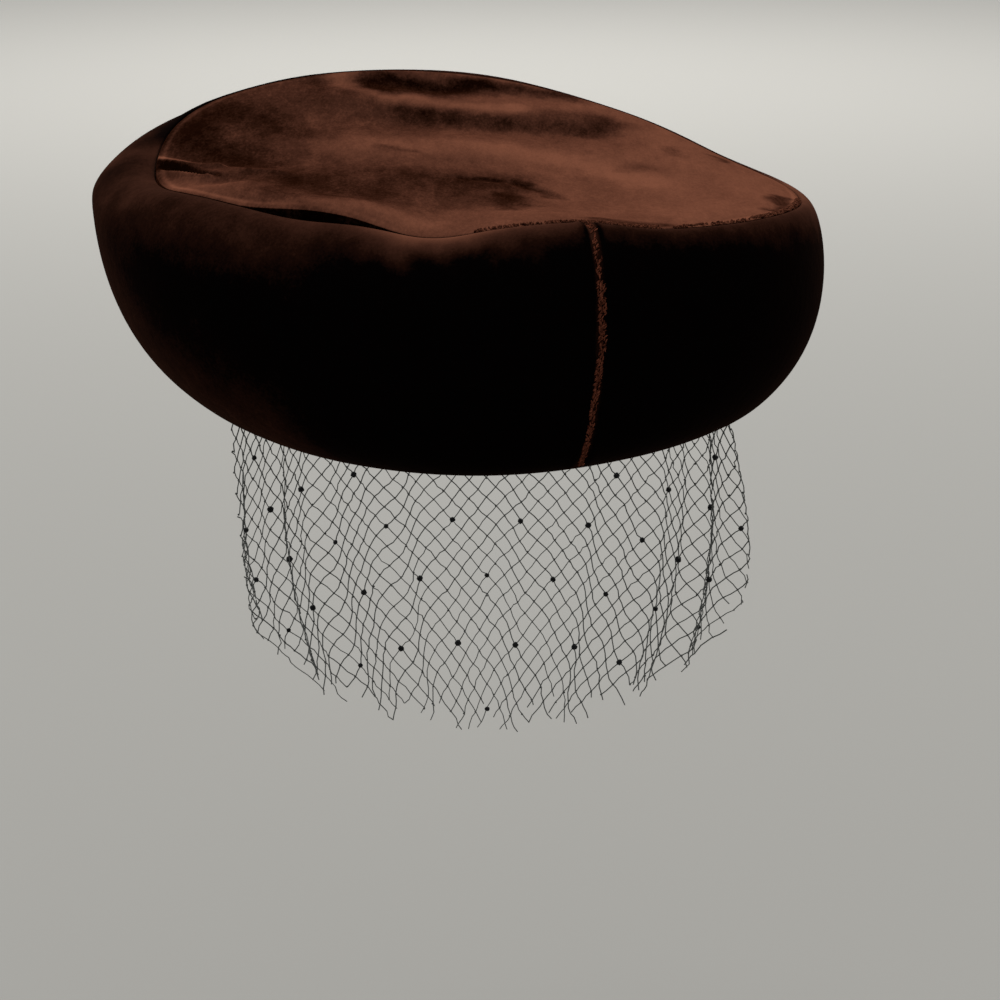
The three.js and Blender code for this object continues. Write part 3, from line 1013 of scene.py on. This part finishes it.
@dataclass
class FaceVeil:
    """The face veil: a diamond net of fine thread with small chenille dots, hung from inside the band.

    It is laid out flat, as (along the band, down from its top edge), and then gathered on to its form.
    """

    node: str = "veil"
    start: float = 184.0
    end: float = 356.0
    top: float = 8.0
    drop_ends: float = 64.0
    drop_front: float = 138.0
    hem_power: float = 0.6
    flat_width: float = 294.0
    across: float = 7.0
    down: float = 7.2
    thread: float = 0.42
    knot: float = 0.4
    dot: float = 0.95
    wall: float = 1.2
    ragged: float = 7.0

    def build(self, nodes: dict[str, bpy.types.Object]) -> list[bpy.types.Object]:
        rng = np.random.default_rng(23)
        self.read_form(nodes[self.node])
        threads, crossings = self.lay_threads(rng)
        net = self.make_net(threads, crossings, rng)
        dots = self.make_dots(crossings, rng)
        for piece in (net, dots):
            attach(piece, BODY)
        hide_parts(self.node)
        # thread covers less of a net than the least area that a cut may state
        return [net, dots]

    def read_form(self, veil: bpy.types.Object) -> None:
        """Reads how far the CAD veil stands from the axis at each bearing and depth."""
        tree = casting_tree(veil)
        self.turns = np.linspace(0, 1, 87)
        self.depths = np.arange(-self.top + 0.5, self.drop_front + 12, 3.0)
        self.radii = np.zeros((len(self.turns), len(self.depths)))
        for i, turn in enumerate(self.turns):
            bearing = self.start + min(max(turn, 0.002), 0.998) * (self.end - self.start)
            away = Vector(outward(np.array([bearing]))[0])
            for j, depth in enumerate(self.depths):
                hit = tree.ray_cast(Vector((0, 0, -depth * MM)), away)[0]
                self.radii[i, j] = math.hypot(hit.x, hit.y) / MM if hit else self.radii[i, j - 1] - 1.0

    def hem(self, turn: np.ndarray) -> np.ndarray:
        """Returns how far below the top edge the hem hangs."""
        drop = np.sin(np.pi * np.clip(turn, 0, 1)) ** self.hem_power
        return self.top + self.drop_ends + (self.drop_front - self.drop_ends) * drop

    def on_form(self, flat: np.ndarray) -> np.ndarray:
        """Gathers flat places on to the veil's form.

        Args:
            flat: places as (along, down) in millimetres.

        Returns:
            Places in the hat's frame, in millimetres.
        """
        turn = flat[:, 0] / self.flat_width
        depth = flat[:, 1] - self.top
        bearings = self.start + turn * (self.end - self.start)
        column = np.clip(turn, 0, 1) * (len(self.turns) - 1)
        row = np.clip((depth - self.depths[0]) / 3.0, 0, len(self.depths) - 1.001)
        i, j = np.minimum(column.astype(int), len(self.turns) - 2), row.astype(int)
        u, v = column - i, row - j
        r = self.radii
        higher = r[i, j] * (1 - u) + r[i + 1, j] * u
        lower = r[i, j + 1] * (1 - u) + r[i + 1, j + 1] * u
        radius = higher * (1 - v) + lower * v
        fall = eased(flat[:, 1] / 120)
        folds = np.sin(2 * np.pi * (turn * 9 + 0.25 * np.sin(turn * 11))) + 0.5 * np.sin(2 * np.pi * turn * 17 + 1)
        radius = radius + self.wall / 2 + (0.5 + 2.6 * fall) * folds
        low = eased(flat[:, 1] / 70)
        radius += 5.5 * bump(turn, 0.06) * low
        radius += 6.5 * bump(turn - 1, 0.07) * (eased((flat[:, 1] - 6) / 14) - 0.8 * low)
        return radius[:, None] * outward(bearings) - np.stack([0 * depth, 0 * depth, depth], axis=1)

    def lay_threads(self, rng: np.random.Generator) -> tuple[list[np.ndarray], np.ndarray]:
        """Lays the two slanting sets of threads, and finds where they cross.

        Returns:
            One array of flat places for each thread, and the flat places of the crossings.
        """
        columns = int(self.flat_width / self.across)
        rows = int((self.top + self.drop_front + 12) / (self.down / 2))
        steps = np.arange(0, 2 * rows + 1)
        threads = []
        for slant in (1, -1):
            for first in range(-rows, columns + rows + 1):
                along = (first + slant * steps / 4) * self.across
                downs = steps * self.down / 4
                end = self.hem(along / self.flat_width) + rng.uniform(-0.4, 1.0) * self.ragged
                keep = (along >= -0.01) & (along <= self.flat_width + 0.01) & (downs <= end)
                if keep.sum() >= 3:
                    threads.append(np.stack([along, downs], axis=1)[keep])
        places = [
            (column * self.across / 2, row * self.down / 2)
            for row in range(rows + 1)
            for column in range(row % 2, 2 * columns + 1, 2)
        ]
        crossings = np.array(places)
        inside = crossings[:, 1] < self.hem(crossings[:, 0] / self.flat_width) - 0.5
        return threads, crossings[inside]

    def make_net(
        self, threads: list[np.ndarray], crossings: np.ndarray, rng: np.random.Generator
    ) -> bpy.types.Object:
        """Makes the threads and their knots, as one piece."""
        curve = bpy.data.curves.new("veil_threads", "CURVE")
        curve.dimensions = "3D"
        curve.bevel_depth = self.thread / 2 * MM
        curve.bevel_resolution = 0
        curve.use_fill_caps = True
        for flat in threads:
            places = self.on_form(flat) + rng.normal(0, 0.2, (len(flat), 3))
            spline = curve.splines.new("POLY")
            spline.points.add(len(places) - 1)
            spline.points.foreach_set("co", np.c_[places * MM, np.ones(len(places))].ravel())
        net = bpy.data.objects.new("veil_net", curve)
        bpy.context.scene.collection.objects.link(net)
        select_only(net)
        bpy.ops.object.convert(target="MESH")
        net = bpy.context.object
        set_attribute(net, TONE, np.full(len(net.data.vertices), 0.45))
        deselect_all()
        bpy.ops.mesh.primitive_ico_sphere_add(subdivisions=1, radius=1)
        origins = self.on_form(crossings)
        frames = np.eye(3)[None] * rng.uniform(0.8, 1.15, len(origins))[:, None, None] * self.knot
        tones = rng.uniform(0.2, 0.6, len(origins))
        knots = copies_as_piece("veil_knots", bpy.context.object, origins, frames, tones)
        select_only(net)
        knots.select_set(True)
        bpy.ops.object.join()
        net.data.materials.clear()
        net.data.materials.append(FibreFinish("nylon_veil_thread", "323331", "666763", 0.4, 0.02).build())
        shade_smooth(net)
        return net

    def make_dots(self, crossings: np.ndarray, rng: np.random.Generator) -> bpy.types.Object:
        """Makes the chenille dots, on every few crossings."""
        deselect_all()
        bpy.ops.mesh.primitive_ico_sphere_add(subdivisions=3, radius=1)
        template = bpy.context.object
        places = vertex_places(template) * MM
        move_vertices(template, places * (1 + 0.28 * smooth_noise(places, 0.35, 5.0))[:, None] / MM)
        column = np.round(crossings[:, 0] / (self.across / 2)).astype(int)
        row = np.round(crossings[:, 1] / (self.down / 2)).astype(int)
        chosen = ((row % 12 == 4) & (column % 8 == 2)) | ((row % 12 == 10) & (column % 8 == 6))
        origins = self.on_form(crossings[chosen])
        turns = [Vector(rng.normal(size=3)).to_track_quat("Z", "Y").to_matrix() for _ in origins]
        sizes = rng.uniform(0.8, 1.2, len(origins)) * self.dot
        frames = np.array([np.array(t) * s for t, s in zip(turns, sizes)])
        piece = copies_as_piece("veil_dots", template, origins, frames, rng.uniform(0.2, 0.7, len(origins)))
        piece.data.materials.append(FibreFinish("chenille_dots", "050505", "1d1d1e", 0.3, 0.15).build())
        return piece


# --------------------------------------------------------------------- studio


@dataclass
class Studio:
    """Plain pale floor, plain soft lights and the camera, in metres."""

    eye: tuple[float, float, float] = (0.0, 0.6834, 0.1820)
    aim: tuple[float, float, float] = (-0.0043, 0.0, -0.0357)
    focal: float = 79.49
    floor_drop: float = 0.15
    floor_size: float = 30.0
    room: str = "e8eaec"
    room_strength: float = 0.9

    def build(self) -> None:
        """Makes the camera, the floor and the lights."""
        self.make_camera()
        self.make_floor()
        self.make_lights()

    def make_camera(self) -> None:
        """Makes the camera behind the hat and a little above it."""
        deselect_all()
        eye, aim = Vector(self.eye), Vector(self.aim)
        bpy.ops.object.camera_add(location=eye, rotation=(aim - eye).to_track_quat("-Z", "Y").to_euler())
        camera = bpy.context.object
        camera.name = "camera"
        camera.data.lens = self.focal
        camera.data.sensor_width = 36.0
        bpy.context.scene.camera = camera

    def make_floor(self) -> None:
        """Makes the floor, below the veil."""
        deselect_all()
        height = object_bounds()[0][2] - self.floor_drop
        bpy.ops.mesh.primitive_plane_add(size=self.floor_size, location=(0, 0, height))
        floor = bpy.context.object
        floor.name = "floor"
        floor.data.materials.append(BackdropFinish().build())
        floor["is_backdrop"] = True

    def make_lights(self) -> None:
        """Makes the broad soft light from above, the fill from the left and the even light of the room."""
        hat, backdrop = (0, 0, 0.03), (0, -3.3, -0.3)
        self.aimed_light("overhead", "SUN", (0.3, -0.5, 1.2), hat, energy=1.5, angle=math.radians(60))
        self.aimed_light("left_fill", "AREA", (1.3, 0.8, 0.8), hat, energy=1.8, size=1.0)
        self.aimed_light("backdrop_wash", "AREA", (0, -3.2, 1.7), backdrop, energy=58.0, size=2.0)
        world = bpy.data.worlds.new("room")
        bpy.context.scene.world = world
        world.use_nodes = True
        background = world.node_tree.nodes["Background"]
        background.inputs["Color"].default_value = linear(self.room)
        background.inputs["Strength"].default_value = self.room_strength
        bpy.context.scene.view_settings.view_transform = "Standard"

    def aimed_light(
        self, name: str, kind: str, place: Sequence[float], target: Sequence[float], **settings: float
    ) -> None:
        """Makes a light that shines from one place at another.

        Args:
            name: its name.
            kind: its type, such as "AREA".
            place: where it is.
            target: what it shines at.
            settings: its own properties, by name.
        """
        deselect_all()
        turn = (Vector(target) - Vector(place)).to_track_quat("-Z", "Y").to_euler()
        bpy.ops.object.light_add(type=kind, location=place, rotation=turn)
        light = bpy.context.object
        light.name = name
        for setting, value in settings.items():
            setattr(light.data, setting, value)


# ----------------------------------------------------------------------- main


def main() -> None:
    """Builds every sub-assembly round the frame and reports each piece."""
    logging.basicConfig(level=logging.INFO, format="%(name)s: %(message)s")
    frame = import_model()
    Studio().build()
    nodes = frame["nodes"]
    seam = SeamLine(nodes["tip"])
    tip, band = TipPanel().build(nodes, seam), SideBand().build(nodes, seam)
    seams = TipSeam().build(tip[0], seam) + BackSeam().build(band[0])
    for piece in tip + band + seams + FaceVeil().build(nodes):
        triangles = sum(len(p.vertices) - 2 for p in piece.data.polygons)
        log.info("%s: %d triangles", piece.name, triangles)


if __name__ == "__main__":
    main()
